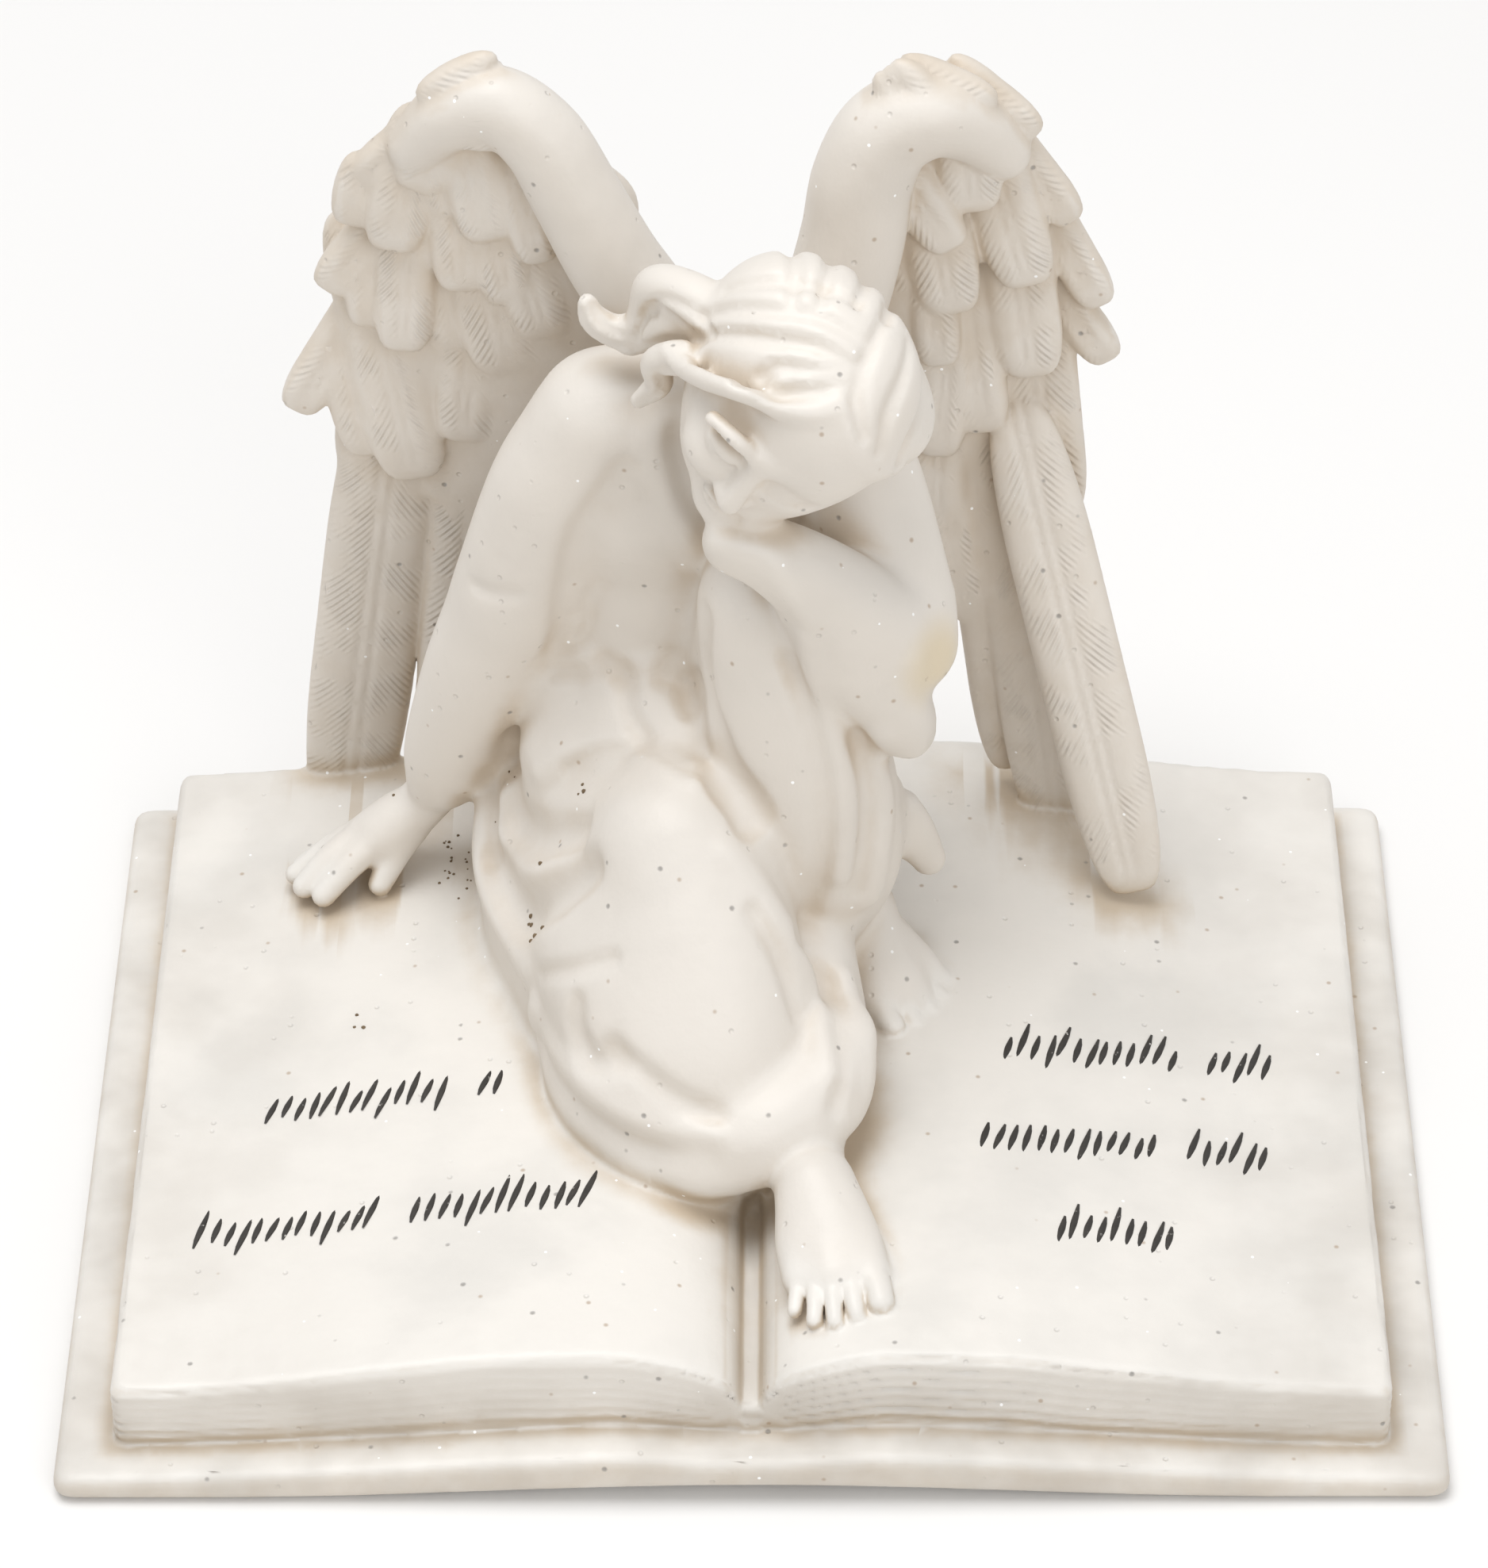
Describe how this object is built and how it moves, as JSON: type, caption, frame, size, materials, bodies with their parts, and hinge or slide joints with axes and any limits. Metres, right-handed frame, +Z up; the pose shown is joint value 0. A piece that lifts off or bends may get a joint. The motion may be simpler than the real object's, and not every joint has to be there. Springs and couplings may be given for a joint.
{
  "type": "memorial angel statue",
  "caption": "Winged figure seated with bowed head on an open book, cast in marble resin as a grave or mantel ornament",
  "frame": {"origin": "Middle of the underside of the book, on the ground it rests on", "axes": "+X to the right of a reader in front of the book, +Y away from that reader towards the wings, +Z up"},
  "size_m": [0.18, 0.135, 0.1431],
  "materials": {
    "marble_resin": "satin cast marble resin, near white on the raised faces and warm beige in the recesses, with fine dark specks"
  },
  "bodies": {
    "root": {"angel_on_book": "marble_resin"}
  },
  "joints": []
}
